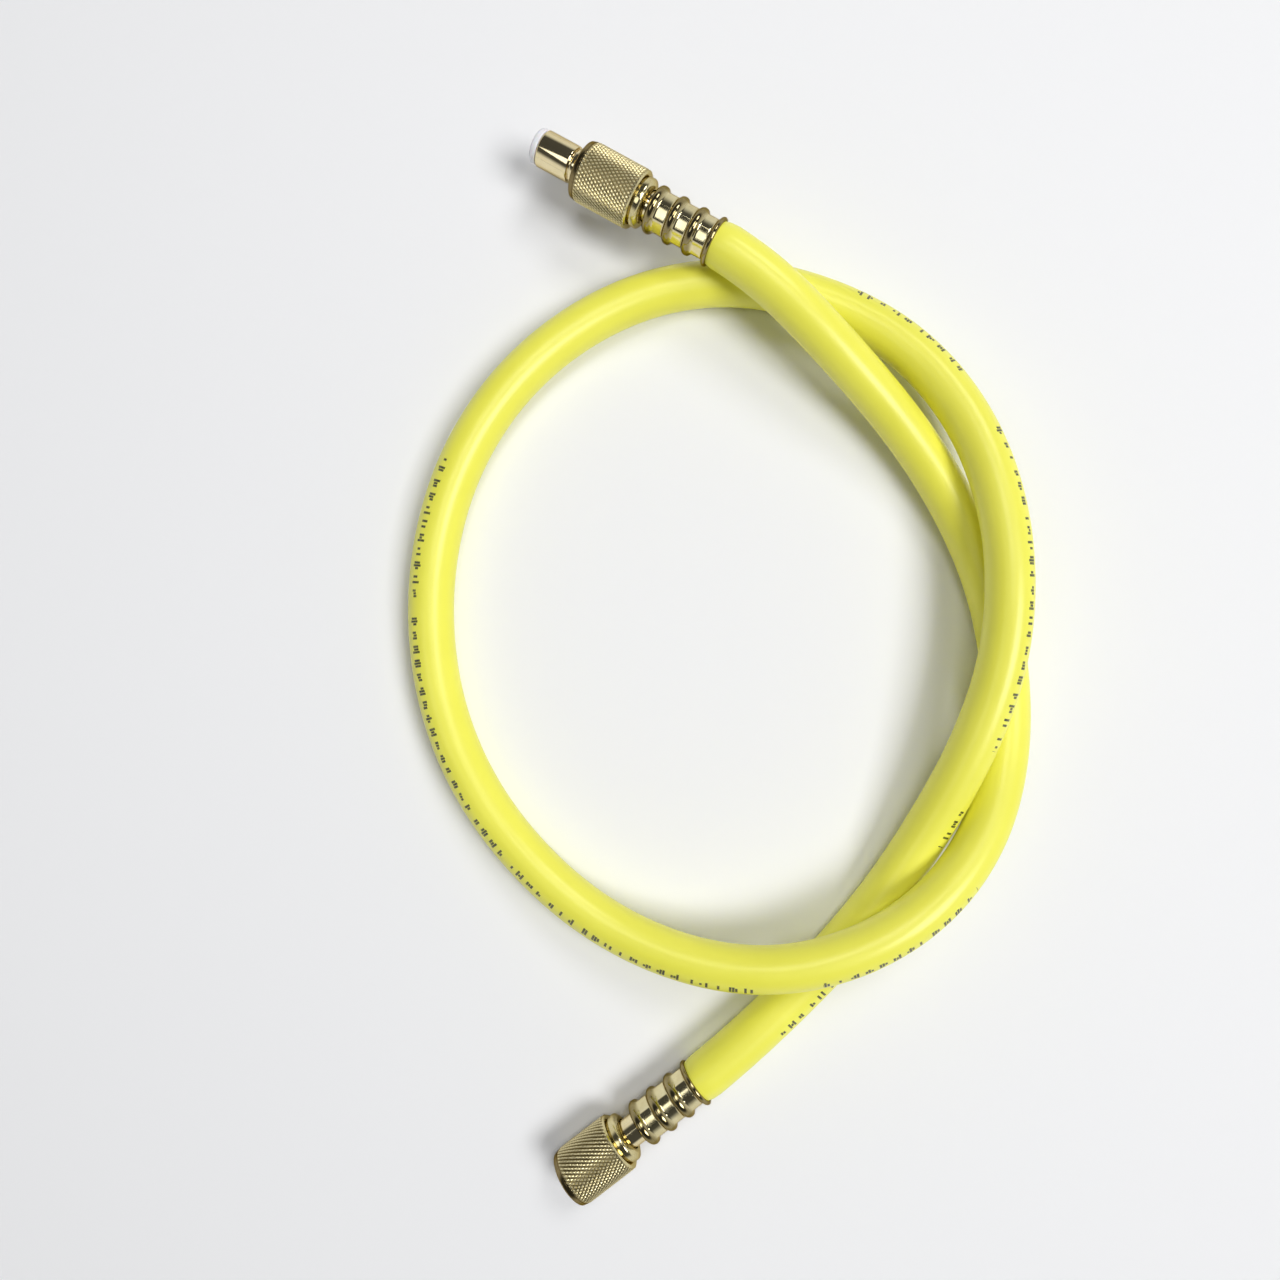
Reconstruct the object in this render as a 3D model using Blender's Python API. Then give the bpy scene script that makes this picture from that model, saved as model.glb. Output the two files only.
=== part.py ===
"""Refrigerant charging hose.

A flexible hose lies in one loose turn on a surface. Each end is crimped in a brass ferrule onto a
barbed stem, and a captive knurled nut rides on the stem. The service end's nut is slid back, so its
stem shows its head and its white seal; the manifold end's nut is pushed forward over its stem.

Units are metres and +Z is up. The surface is z = 0, and the origin is under the middle of the two
fittings. Along a fitting, distances are measured from the ferrule's front edge: positive towards
the open end of the fitting, negative towards the hose.
"""

import math

import bmesh
import bpy
from mathutils import Vector

# Hose
HOSE_OD = 0.0125
HOSE_TUBE_STEP = 0.025
HOSE_NECK = 0.0025          # where the hose swells from the ferrule's mouth to its full diameter
HOSE_MOUTH_OD = 0.0115      # the hose squeezed in the ferrule's mouth

# Gap that touching pieces keep, and the running gap under the nuts
FIT = 0.00025
NUT_CLEARANCE = 0.0002

# Ferrule: three raised rings, three bands pressed to eight flats between them, and a rolled lip
FERRULE_LENGTH = 0.0195
FERRULE_WALL = 0.0009
FERRULE_RING_OD = 0.0128
FERRULE_BAND_FLATS = 0.0108  # across the flats that the die leaves
FERRULE_LIP_OD = 0.0133
FERRULE_LIP_WIDTH = 0.0012
FERRULE_RING_WIDTH = 0.0019
FERRULE_RING_PITCH = 0.006
FERRULE_RAMP = 0.0005       # length over which a ring runs down to a band
FERRULE_FRONT_WALL = 0.0012
FERRULE_RINGS = 3
FERRULE_FLATS = 8

# Stem
STEM_BORE = 0.0034
STEM_BARB_OD = 0.0056
STEM_ROOT_OD = 0.0047
STEM_BARBS = 3
STEM_BARB_PITCH = 0.0048
STEM_TAIL = 0.0178          # how far the barbed tail reaches back into the hose
STEM_GROOVE_OD = 0.0064     # the groove that the ferrule's front wall is crimped into
STEM_LOCK_OD = 0.0078       # the ring behind that wall
STEM_LOCK_WIDTH = 0.0008
STEM_NECK_OD = 0.0080
STEM_COLLAR_OD = 0.0089     # the collar that catches the nut
STEM_COLLAR_WIDTH = 0.0026
STEM_HEAD_OD = 0.0096
STEM_HEAD_CHAMFER = 0.0003

SERVICE_COLLAR = 0.0216     # where the collar starts on each stem
SERVICE_HEAD_LENGTH = 0.0094
MANIFOLD_HEAD_LENGTH = 0.0068

# Seal: a ring whose spigot is pressed into the stem
SEAL_OD = 0.0093
SEAL_PROUD = 0.0022
SEAL_HOLE = 0.0046
SEAL_SPIGOT_OD = 0.0064
SEAL_SPIGOT_LENGTH = 0.0030

# Valve-core depressor, in the service end's seal
DEPRESSOR_OD = 0.0055
DEPRESSOR_THICK = 0.0010
DEPRESSOR_PIN_OD = 0.0014
DEPRESSOR_RECESS = 0.0008   # how far the pin's end stays behind the seal's face
DEPRESSOR_HOLES = 3
DEPRESSOR_HOLE_OD = 0.0011

# Nut
NUT_LENGTH = 0.0208
NUT_OD = 0.0158
NUT_BORE = 0.0100           # the crests of the thread inside
NUT_MOUTH_OD = 0.0132       # the flat ring round the mouth, outside and inside
NUT_MOUTH_BORE = 0.0109
NUT_FRONT_BEVEL = 0.0019
NUT_HUB_OD = 0.0133
NUT_HUB_LENGTH = 0.0025
NUT_GROOVE_OD = 0.0122
NUT_GROOVE_WIDTH = 0.0004
NUT_REAR_WALL = 0.0022
SERVICE_NUT_REAR = 0.0012   # where each nut's rear face stands
MANIFOLD_NUT_REAR = 0.0043

# Where each ferrule's lip is, which way the fitting points, and how far its nose dips
SERVICE_LIP = (0.0899, 0.0662, 0.0193)
SERVICE_HEADING = math.radians(112.0)
SERVICE_DIP = math.radians(4.0)
MANIFOLD_LIP = (-0.0513, -0.1101, NUT_OD / 2)
MANIFOLD_HEADING = math.radians(180.0)
MANIFOLD_DIP = 0.0

# The hose's centre line between the two fittings, from the service end to the manifold end
ROUTE = (
    (0.0954, 0.0495, 0.0196),
    (0.0975, 0.0360, 0.0184),
    (0.1005, 0.0180, 0.0145),
    (0.1030, -0.0035, 0.0095),
    (0.1020, -0.0270, 0.0065),
    (0.0965, -0.0500, 0.00625),
    (0.0860, -0.0715, 0.00625),
    (0.0710, -0.0905, 0.0078),
    (0.0520, -0.1025, 0.0132),
    (0.0285, -0.1070, 0.0187),
    (0.0045, -0.1040, 0.0197),
    (-0.0170, -0.0940, 0.0180),
    (-0.0340, -0.0775, 0.0140),
    (-0.0455, -0.0570, 0.0098),
    (-0.0510, -0.0340, 0.0070),
    (-0.0510, -0.0105, 0.00625),
    (-0.0450, 0.0130, 0.00625),
    (-0.0335, 0.0340, 0.00625),
    (-0.0175, 0.0520, 0.00625),
    (0.0020, 0.0655, 0.00625),
    (0.0245, 0.0735, 0.00625),
    (0.0485, 0.0750, 0.00625),
    (0.0715, 0.0700, 0.00625),
    (0.0920, 0.0580, 0.00625),
    (0.1075, 0.0395, 0.0068),
    (0.1165, 0.0175, 0.0097),
    (0.1170, -0.0065, 0.0144),
    (0.1100, -0.0295, 0.0185),
    (0.0978, -0.0504, 0.0197),
    (0.0820, -0.0678, 0.0188),
    (0.0624, -0.0819, 0.0151),
    (0.0418, -0.0927, 0.0102),
    (0.0197, -0.1014, 0.0067),
    (-0.0035, -0.1065, 0.00625),
    (-0.0270, -0.1092, 0.0068),
)
ROUTE_STRAIGHT = 0.0040     # how far the hose runs straight out of each fitting

# Number of sides on turned pieces
SIDES = 32
SIDES_INSIDE = 24

YELLOW_RUBBER = (0.86, 0.84, 0.13)
NUT_BRASS = (0.50, 0.43, 0.20)
POLISHED_BRASS = (0.72, 0.61, 0.32)
SEAL_WHITE = (0.86, 0.85, 0.88)
PIN_STEEL = (0.55, 0.53, 0.50)


def clear_scene():
    for thing in list(bpy.data.objects):
        bpy.data.objects.remove(thing, do_unlink=True)


def material(name, colour, roughness, metallic):
    made = bpy.data.materials.new(name)
    made.use_nodes = True
    shader = made.node_tree.nodes["Principled BSDF"]
    shader.inputs["Base Color"].default_value = (*colour, 1.0)
    shader.inputs["Roughness"].default_value = roughness
    shader.inputs["Metallic"].default_value = metallic
    return made


def placed(name, data, finish, parent, along=0.0):
    """An object on its fitting's axis, that far in front of the ferrule's front edge."""
    data.materials.append(finish)
    thing = bpy.data.objects.new(name, data)
    thing.parent = parent
    thing.location = (0.0, 0.0, along)
    bpy.context.collection.objects.link(thing)
    return thing


def finished_mesh(name, bm, sharp=math.radians(35.0)):
    """The mesh with its faces pointing out, smooth but for its sharp edges."""
    bmesh.ops.recalc_face_normals(bm, faces=bm.faces)
    data = bpy.data.meshes.new(name)
    bm.to_mesh(data)
    bm.free()
    data.shade_smooth()
    data.set_sharp_from_angle(angle=sharp)
    return data


def turned(name, profile, sides):
    """A piece turned about +Z, from its closed section as (distance along, diameter) pairs."""
    bm = bmesh.new()
    verts = [bm.verts.new((diameter / 2, 0.0, along)) for along, diameter in profile]
    edges = [bm.edges.new(pair) for pair in zip(verts, verts[1:] + verts[:1])]
    bmesh.ops.spin(bm, geom=verts + edges, cent=(0, 0, 0), axis=(0, 0, 1),
                   angle=math.tau, steps=sides, use_duplicate=False)
    bmesh.ops.remove_doubles(bm, verts=bm.verts, dist=1e-7)
    return finished_mesh(name, bm)


def bulge(start, end, diameter, top, steps=3):
    """Points of a rounded rim from start to end, standing from one diameter up to another."""
    middle, half = (start + end) / 2, (end - start) / 2
    return [(middle - half * math.cos(math.pi * k / steps),
             diameter + (top - diameter) * math.sin(math.pi * k / steps)) for k in range(steps + 1)]


# Sections of the crimped joint, each as (distance along, diameter, share of the die's flats)

def ring_centres():
    return [-(FERRULE_RING_WIDTH / 2 + FERRULE_RAMP / 2 + k * FERRULE_RING_PITCH)
            for k in range(FERRULE_RINGS)]


def ferrule_outside():
    half = FERRULE_RING_WIDTH / 2
    shoulder = FERRULE_RING_OD - (FERRULE_RING_OD - FERRULE_BAND_FLATS) * 0.2
    section = []
    for centre in ring_centres():
        if section:
            section.append((centre + half + FERRULE_RAMP, FERRULE_BAND_FLATS, 1.0))
        section.append((centre + half, shoulder, 0.0))
        section.append((centre, FERRULE_RING_OD, 0.0))
        section.append((centre - half, shoulder, 0.0))
        section.append((centre - half - FERRULE_RAMP, FERRULE_BAND_FLATS, 1.0))
    lip = -FERRULE_LENGTH
    section.append((lip + FERRULE_LIP_WIDTH + FERRULE_RAMP, FERRULE_BAND_FLATS, 1.0))
    section.append((lip + FERRULE_LIP_WIDTH, FERRULE_RING_OD, 0.0))
    section.append((lip + FERRULE_LIP_WIDTH * 0.6, FERRULE_LIP_OD, 0.0))
    section.append((lip + FERRULE_LIP_WIDTH * 0.15, FERRULE_LIP_OD, 0.0))
    section.append((lip, FERRULE_LIP_OD - 0.0003, 0.0))
    front, _, _ = section[0]
    return [(0.0, shoulder - 2 * (0.0 - front), 0.0)] + section


def crimped_inside(gap):
    """The diameters inside the ferrule from its mouth to its front wall, less a gap all round."""
    wall = 2 * (FERRULE_WALL + gap)
    rings, bands = FERRULE_RING_OD - wall, FERRULE_BAND_FLATS - wall
    half = FERRULE_RING_WIDTH / 2
    mouth = HOSE_MOUTH_OD + 2 * (FIT - gap)
    section = [(-FERRULE_LENGTH, mouth), (-FERRULE_LENGTH + FERRULE_LIP_WIDTH, mouth - 0.0006),
               (-FERRULE_LENGTH + FERRULE_LIP_WIDTH + 2 * FERRULE_RAMP, bands)]
    for centre in reversed(ring_centres()[1:]):
        section += [(centre - half - FERRULE_RAMP, bands), (centre - half, rings),
                    (centre + half, rings), (centre + half + FERRULE_RAMP, bands)]
    section.append((-FERRULE_FRONT_WALL - gap, bands))
    return section


def flats_radius(radius, angle):
    """The radius at an angle round the flats that the crimping die leaves."""
    side = math.tau / FERRULE_FLATS
    return radius / math.cos((angle + side / 2) % side - side / 2)


def lofted(name, section, sides):
    """A closed ring lofted through round and flat-sided cross-sections."""
    bm = bmesh.new()
    hoops = []
    for along, diameter, flats in section:
        hoop = []
        for k in range(sides):
            angle = math.tau * k / sides
            radius = (1 - flats) * diameter / 2 + flats * flats_radius(diameter / 2, angle)
            hoop.append(bm.verts.new((radius * math.cos(angle), radius * math.sin(angle), along)))
        hoops.append(hoop)
    for first, second in zip(hoops, hoops[1:] + hoops[:1]):
        for k in range(sides):
            bm.faces.new((first[k - 1], first[k], second[k], second[k - 1]))
    return finished_mesh(name, bm)


def ferrule(end, parent, finish):
    hole = STEM_GROOVE_OD + 2 * FIT
    inside = [(along, diameter, 0.0) for along, diameter in crimped_inside(0.0)]
    wall = [(-FERRULE_FRONT_WALL, hole, 0.0), (0.0, hole, 0.0)]
    section = ferrule_outside() + inside + wall
    return placed(end + "_ferrule", lofted(end + "_ferrule", section, SIDES), finish, parent)


def hose_end(end, parent, finish):
    """The hose where it is squeezed between the ferrule and the barbs, out to its full diameter."""
    outer = crimped_inside(FIT)
    outer[-1] = (-FERRULE_FRONT_WALL - FIT, outer[-1][1])
    full = -FERRULE_LENGTH - HOSE_NECK
    bore = STEM_BARB_OD + 2 * FIT
    lock = STEM_LOCK_OD + 2 * FIT
    lock_end = -(FERRULE_FRONT_WALL + FIT + STEM_LOCK_WIDTH + FIT)
    profile = [(full, bore), (full, HOSE_OD), (full + HOSE_NECK * 0.4, HOSE_OD - 0.0001)] + outer
    profile += [(-FERRULE_FRONT_WALL - FIT, lock), (lock_end, lock), (lock_end, bore)]
    return placed(end + "_hose_end", turned(end + "_hose_end", profile, SIDES_INSIDE), finish, parent)


def stem_profile(collar, head_length, pocket):
    """The stem's section: barbed tail, crimp groove, neck, collar, head and the seal's pocket."""
    tail = -STEM_TAIL
    lock_front = -(FERRULE_FRONT_WALL + FIT)
    section = [(tail, STEM_BORE), (tail, STEM_ROOT_OD - 0.0004)]
    for k in range(STEM_BARBS):
        start = tail + 0.0006 + k * STEM_BARB_PITCH
        section += [(start, STEM_ROOT_OD), (start + STEM_BARB_PITCH * 0.72, STEM_BARB_OD),
                    (start + STEM_BARB_PITCH * 0.78, STEM_ROOT_OD)]
    section += [(lock_front - STEM_LOCK_WIDTH, STEM_ROOT_OD), (lock_front - STEM_LOCK_WIDTH, STEM_LOCK_OD),
                (lock_front, STEM_LOCK_OD), (lock_front, STEM_GROOVE_OD),
                (FIT, STEM_GROOVE_OD), (FIT, STEM_NECK_OD), (collar, STEM_NECK_OD)]
    section += bulge(collar, collar + STEM_COLLAR_WIDTH - 0.0004, STEM_NECK_OD + 0.0004, STEM_COLLAR_OD)
    head, face = collar + STEM_COLLAR_WIDTH, collar + STEM_COLLAR_WIDTH + head_length
    section += [(head, STEM_NECK_OD + 0.0004), (head, STEM_HEAD_OD - 2 * STEM_HEAD_CHAMFER),
                (head + STEM_HEAD_CHAMFER, STEM_HEAD_OD), (face - STEM_HEAD_CHAMFER, STEM_HEAD_OD),
                (face, STEM_HEAD_OD - 2 * STEM_HEAD_CHAMFER)]
    spigot_hole = SEAL_SPIGOT_OD + 2 * FIT
    floor = face - SEAL_SPIGOT_LENGTH - pocket
    return section + [(face, spigot_hole), (floor, spigot_hole), (floor, STEM_BORE)]


def stem(end, parent, finish, collar, head_length, pocket):
    profile = stem_profile(collar, head_length, pocket)
    return placed(end + "_stem", turned(end + "_stem", profile, SIDES), finish, parent)


def seal(end, parent, finish, face):
    """The sealing ring on the stem's face: a flange that stands proud, and its spigot."""
    front = SEAL_PROUD
    profile = [(FIT - SEAL_SPIGOT_LENGTH, SEAL_HOLE), (FIT - SEAL_SPIGOT_LENGTH, SEAL_SPIGOT_OD),
               (FIT, SEAL_SPIGOT_OD), (FIT, SEAL_OD), (front - 0.0004, SEAL_OD),
               (front, SEAL_OD - 0.0008), (front, SEAL_HOLE)]
    return placed(end + "_seal", turned(end + "_seal", profile, SIDES), finish, parent, face)


def nut(end, parent, finish, rear):
    barrel = NUT_HUB_LENGTH + NUT_GROOVE_WIDTH
    bevel = NUT_LENGTH - NUT_FRONT_BEVEL
    hole = STEM_NECK_OD + 2 * NUT_CLEARANCE
    profile = [(0.0, hole), (0.0, NUT_HUB_OD - 0.0022), (NUT_HUB_LENGTH * 0.24, NUT_HUB_OD - 0.0006),
               (NUT_HUB_LENGTH * 0.5, NUT_HUB_OD), (NUT_HUB_LENGTH, NUT_HUB_OD),
               (NUT_HUB_LENGTH, NUT_GROOVE_OD), (barrel, NUT_GROOVE_OD),
               (barrel, NUT_OD - 0.0008), (barrel + 0.0004, NUT_OD), (bevel, NUT_OD),
               (bevel, NUT_OD - 0.0006), (NUT_LENGTH - NUT_FRONT_BEVEL * 0.3, NUT_OD - 0.0016),
               (NUT_LENGTH, NUT_MOUTH_OD), (NUT_LENGTH, NUT_MOUTH_BORE),
               (NUT_LENGTH - (NUT_MOUTH_BORE - NUT_BORE) / 2, NUT_BORE),
               (NUT_REAR_WALL, NUT_BORE), (NUT_REAR_WALL, hole)]
    return placed(end + "_nut", turned(end + "_nut", profile, SIDES), finish, parent, rear)


def core_depressor(parent, finish, face):
    """A holed disc behind the seal's spigot, with the pin that opens the valve core."""
    seat = -SEAL_SPIGOT_LENGTH - DEPRESSOR_THICK - FIT
    disc, pin = DEPRESSOR_OD, DEPRESSOR_PIN_OD
    top = SEAL_PROUD - DEPRESSOR_RECESS
    profile = [(seat, 0.0), (seat, disc), (seat + DEPRESSOR_THICK, disc), (seat + DEPRESSOR_THICK, pin),
               (top - 0.0002, pin), (top, pin - 0.0004), (top, 0.0)]
    bm = bmesh.new()
    verts = [bm.verts.new((diameter / 2, 0.0, along)) for along, diameter in profile]
    edges = [bm.edges.new(pair) for pair in zip(verts, verts[1:])]
    bmesh.ops.spin(bm, geom=verts + edges, cent=(0, 0, 0), axis=(0, 0, 1),
                   angle=math.tau, steps=SIDES_INSIDE, use_duplicate=False)
    bmesh.ops.remove_doubles(bm, verts=bm.verts, dist=1e-7)
    made = placed("core_depressor", finished_mesh("core_depressor", bm), finish, parent, face)

    cutter = bmesh.new()
    for k in range(DEPRESSOR_HOLES):
        angle = math.tau * k / DEPRESSOR_HOLES
        hole = bmesh.ops.create_cone(cutter, cap_ends=True, segments=10, radius1=DEPRESSOR_HOLE_OD / 2,
                                     radius2=DEPRESSOR_HOLE_OD / 2, depth=3 * DEPRESSOR_THICK)
        ring = (DEPRESSOR_OD + DEPRESSOR_PIN_OD) / 4
        bmesh.ops.translate(cutter, verts=hole["verts"],
                            vec=(ring * math.cos(angle), ring * math.sin(angle), seat + DEPRESSOR_THICK / 2))
    holes = placed("core_depressor_holes", finished_mesh("core_depressor_holes", cutter), finish,
                   parent, face)
    holes.hide_render = True
    holes.display_type = "WIRE"
    cut = made.modifiers.new("holes", "BOOLEAN")
    cut.operation = "DIFFERENCE"
    cut.solver = "EXACT"
    cut.object = holes
    return made


def direction(heading, dip):
    """The unit vector that points out of a fitting's open end."""
    return Vector((math.cos(heading) * math.cos(dip), math.sin(heading) * math.cos(dip), -math.sin(dip)))


def fitting_end(name, lip, heading, dip):
    """An empty at the front edge of the ferrule, its +Z out of the fitting's open end."""
    out = direction(heading, dip)
    end = bpy.data.objects.new(name, None)
    end.empty_display_size = 0.01
    end.location = Vector(lip) + out * FERRULE_LENGTH
    end.rotation_mode = "QUATERNION"
    end.rotation_quaternion = out.to_track_quat("Z", "Y")
    bpy.context.collection.objects.link(end)
    return end


def smooth_line(points, steps=12):
    """Points along a smooth curve through the given ones, no lower than the hose can lie."""
    points = [Vector(point) for point in points]
    slopes = []
    for k, point in enumerate(points):
        before = points[k - 1] if k else point * 2 - points[1]
        after = points[k + 1] if k + 1 < len(points) else point * 2 - points[k - 1]
        back, ahead = (point - before).length, (after - point).length
        slopes.append(((point - before) * ahead / back + (after - point) * back / ahead) / (back + ahead))
    line = []
    for k in range(len(points) - 1):
        here, there = points[k], points[k + 1]
        span = (there - here).length
        for step in range(steps):
            t = step / steps
            line.append(here * (2 * t ** 3 - 3 * t ** 2 + 1) + slopes[k] * span * (t ** 3 - 2 * t ** 2 + t)
                        + there * (3 * t ** 2 - 2 * t ** 3) + slopes[k + 1] * span * (t ** 3 - t ** 2))
    line.append(points[-1])
    for point in line:
        point.z = max(point.z, HOSE_OD / 2)
    return line


def evenly_spaced(line, step):
    """Points that far apart along a line, with one more close to each end, where it runs straight."""
    marks = [0.0]
    for here, there in zip(line, line[1:]):
        marks.append(marks[-1] + (there - here).length)
    count = round(marks[-1] / step)
    wanted = [marks[-1] * k / count for k in range(count + 1)]
    wanted = sorted(wanted + [ROUTE_STRAIGHT * 0.8, marks[-1] - ROUTE_STRAIGHT * 0.8])
    spaced, k = [], 0
    for mark in wanted:
        while k < len(marks) - 2 and marks[k + 1] < mark:
            k += 1
        spaced.append(line[k].lerp(line[k + 1], (mark - marks[k]) / (marks[k + 1] - marks[k])))
    return spaced


def hose_route():
    """The centre line from one crimped end to the other, straight where it leaves each fitting."""
    service, manifold = direction(SERVICE_HEADING, SERVICE_DIP), direction(MANIFOLD_HEADING, MANIFOLD_DIP)
    leave = HOSE_NECK + FIT
    first, last = Vector(SERVICE_LIP), Vector(MANIFOLD_LIP)
    return ([first - service * leave, first - service * (leave + ROUTE_STRAIGHT)]
            + [Vector(point) for point in ROUTE]
            + [last - manifold * (leave + ROUTE_STRAIGHT), last - manifold * leave])


def hose(finish):
    data = bpy.data.curves.new("hose", "CURVE")
    data.dimensions = "3D"
    data.bevel_depth = HOSE_OD / 2
    data.bevel_resolution = 4
    data.use_fill_caps = True
    points = evenly_spaced(smooth_line(hose_route()), HOSE_TUBE_STEP)
    spline = data.splines.new("POLY")
    spline.points.add(len(points) - 1)
    for knot, point in zip(spline.points, points):
        knot.co = (*point, 1.0)
    return placed("hose", data, finish, None)


def build():
    clear_scene()
    rubber = material("yellow_rubber", YELLOW_RUBBER, 0.35, 0.0)
    knurled = material("knurled_brass", NUT_BRASS, 0.42, 1.0)
    polished = material("polished_brass", POLISHED_BRASS, 0.16, 1.0)
    white = material("white_seal", SEAL_WHITE, 0.45, 0.0)
    steel = material("pin_steel", PIN_STEEL, 0.3, 1.0)

    service = fitting_end("service_end", SERVICE_LIP, SERVICE_HEADING, SERVICE_DIP)
    manifold = fitting_end("manifold_end", MANIFOLD_LIP, MANIFOLD_HEADING, MANIFOLD_DIP)
    manifold_collar = MANIFOLD_NUT_REAR + NUT_REAR_WALL + FIT
    service_face = SERVICE_COLLAR + STEM_COLLAR_WIDTH + SERVICE_HEAD_LENGTH
    manifold_face = manifold_collar + STEM_COLLAR_WIDTH + MANIFOLD_HEAD_LENGTH

    hose(rubber)
    for end, parent in (("service", service), ("manifold", manifold)):
        hose_end(end, parent, rubber)
        ferrule(end, parent, polished)
    stem("service", service, polished, SERVICE_COLLAR, SERVICE_HEAD_LENGTH, DEPRESSOR_THICK + 2 * FIT)
    stem("manifold", manifold, polished, manifold_collar, MANIFOLD_HEAD_LENGTH, FIT)
    seal("service", service, white, service_face)
    seal("manifold", manifold, white, manifold_face)
    core_depressor(service, steel, service_face)
    nut("service", service, knurled, SERVICE_NUT_REAR)
    nut("manifold", manifold, knurled, MANIFOLD_NUT_REAR)


build()
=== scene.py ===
"""Looks of the refrigerant charging hose.

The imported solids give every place. The hose becomes one smooth tube from one crimped end to the
other, and each turned or crimped brass piece is made again with its fine form: the crimped
ferrules, the diamond-knurled nuts with their thread, the stems and the seals. Metres, +Z up.
Along a fitting, distances start at the ferrule's front edge, positive towards its open end.
"""

import math

import bpy
import numpy as np
from mathutils import Matrix, Vector


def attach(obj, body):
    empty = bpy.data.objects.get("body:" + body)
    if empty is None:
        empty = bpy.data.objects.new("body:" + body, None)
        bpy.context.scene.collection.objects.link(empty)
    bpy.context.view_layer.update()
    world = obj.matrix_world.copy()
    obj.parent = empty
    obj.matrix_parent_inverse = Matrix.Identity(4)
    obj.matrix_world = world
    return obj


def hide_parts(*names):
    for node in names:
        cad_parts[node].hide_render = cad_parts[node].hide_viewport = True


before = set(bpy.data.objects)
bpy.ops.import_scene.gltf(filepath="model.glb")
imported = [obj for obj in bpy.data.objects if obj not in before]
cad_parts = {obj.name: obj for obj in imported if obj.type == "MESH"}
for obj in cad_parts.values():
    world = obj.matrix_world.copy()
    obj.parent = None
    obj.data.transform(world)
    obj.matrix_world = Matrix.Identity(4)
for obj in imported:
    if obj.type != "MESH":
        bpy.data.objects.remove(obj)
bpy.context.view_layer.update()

# The photograph's view: straight down, from this height over this point, the image turned like this
CAMERA_HEIGHT = 0.264
CAMERA_POINT = (0.0103, -0.0043)
CAMERA_TURN = math.radians(-37.6)
FOCAL_PIXELS = 930.0
PHOTO_PIXELS = 1280.0
SENSOR = 36.0

# What all the pieces share
FIT = 0.00025               # the gap between pieces that touch
BREAK = 0.0001              # the rounding of a sharp turned corner
SHARP = math.radians(35.0)  # faces that meet at more than this show an edge

# Hose, and the points down its middle between the straight bits at its two ends
HOSE_OD = 0.0125
HOSE_NECK = 0.0025          # over which it narrows to the ferrule's mouth
HOSE_MOUTH_OD = 0.0115
ROUTE_STRAIGHT = 0.0040
ROUTE = (
    (0.0954, 0.0495, 0.0196),
    (0.0975, 0.0360, 0.0184),
    (0.1005, 0.0180, 0.0145),
    (0.1030, -0.0035, 0.0095),
    (0.1020, -0.0270, 0.0065),
    (0.0965, -0.0500, 0.00625),
    (0.0860, -0.0715, 0.00625),
    (0.0710, -0.0905, 0.0078),
    (0.0520, -0.1025, 0.0132),
    (0.0285, -0.1070, 0.0187),
    (0.0045, -0.1040, 0.0197),
    (-0.0170, -0.0940, 0.0180),
    (-0.0340, -0.0775, 0.0140),
    (-0.0455, -0.0570, 0.0098),
    (-0.0510, -0.0340, 0.0070),
    (-0.0510, -0.0105, 0.00625),
    (-0.0450, 0.0130, 0.00625),
    (-0.0335, 0.0340, 0.00625),
    (-0.0175, 0.0520, 0.00625),
    (0.0020, 0.0655, 0.00625),
    (0.0245, 0.0735, 0.00625),
    (0.0485, 0.0750, 0.00625),
    (0.0715, 0.0700, 0.00625),
    (0.0920, 0.0580, 0.00625),
    (0.1075, 0.0395, 0.0068),
    (0.1165, 0.0175, 0.0097),
    (0.1170, -0.0065, 0.0144),
    (0.1100, -0.0295, 0.0185),
    (0.0978, -0.0504, 0.0197),
    (0.0820, -0.0678, 0.0188),
    (0.0624, -0.0819, 0.0151),
    (0.0418, -0.0927, 0.0102),
    (0.0197, -0.1014, 0.0067),
    (-0.0035, -0.1065, 0.00625),
    (-0.0270, -0.1092, 0.0068),
)
TUBE_STEP = 0.002
TUBE_SIDES = 48
TUBE_SMOOTHING = 30         # passes that even out the bends
TUBE_SHARP = math.radians(50.0)
TUBE_IN_MOUTH = 0.0005      # how far the tube reaches into the ferrule's mouth
HOSE_END_SIDES = 64
HOSE_END_BREAK = 0.0002     # the broken edge of the squeezed end

# The printed line of plain ticks: where each run starts and ends along the hose, and how far it
# lies round from the top at its two ends, towards the outside of the loop
PRINT_RUNS = ((0.205, 0.455, math.radians(47.0), math.radians(31.0)),
              (0.580, 0.745, math.radians(42.0), math.radians(38.0)),
              (0.792, 0.812, math.radians(36.0), math.radians(36.0)))
PRINT_HEIGHT = 0.0028
PRINT_PITCH = 0.0037
PRINT_TICKS = ((0.16, 0.0), (0.36, 3.7), (0.56, 9.1))     # place in the pitch, and the tick's own seed
PRINT_TICK_WIDTH = 0.00062
PRINT_TICK_SHIFT = 0.3      # how far a tick may sit off the line, as a share of the room it leaves
PRINT_TICK_HALF = (0.16, 0.48)      # half of a tick's height, shortest and tallest
PRINT_TICKS_KEPT = 0.8              # share of the ticks that are there
PRINT_WORD = 4.5                    # pitches in a word
PRINT_WORDS_KEPT = 0.86             # share of the words that are there

# Fittings
SERVICE_LIP = (0.0899, 0.0662, 0.0193)
SERVICE_HEADING = math.radians(112.0)
SERVICE_DIP = math.radians(4.0)
MANIFOLD_LIP = (-0.0513, -0.1101, 0.0079)
MANIFOLD_HEADING = math.radians(180.0)
MANIFOLD_DIP = 0.0

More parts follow.
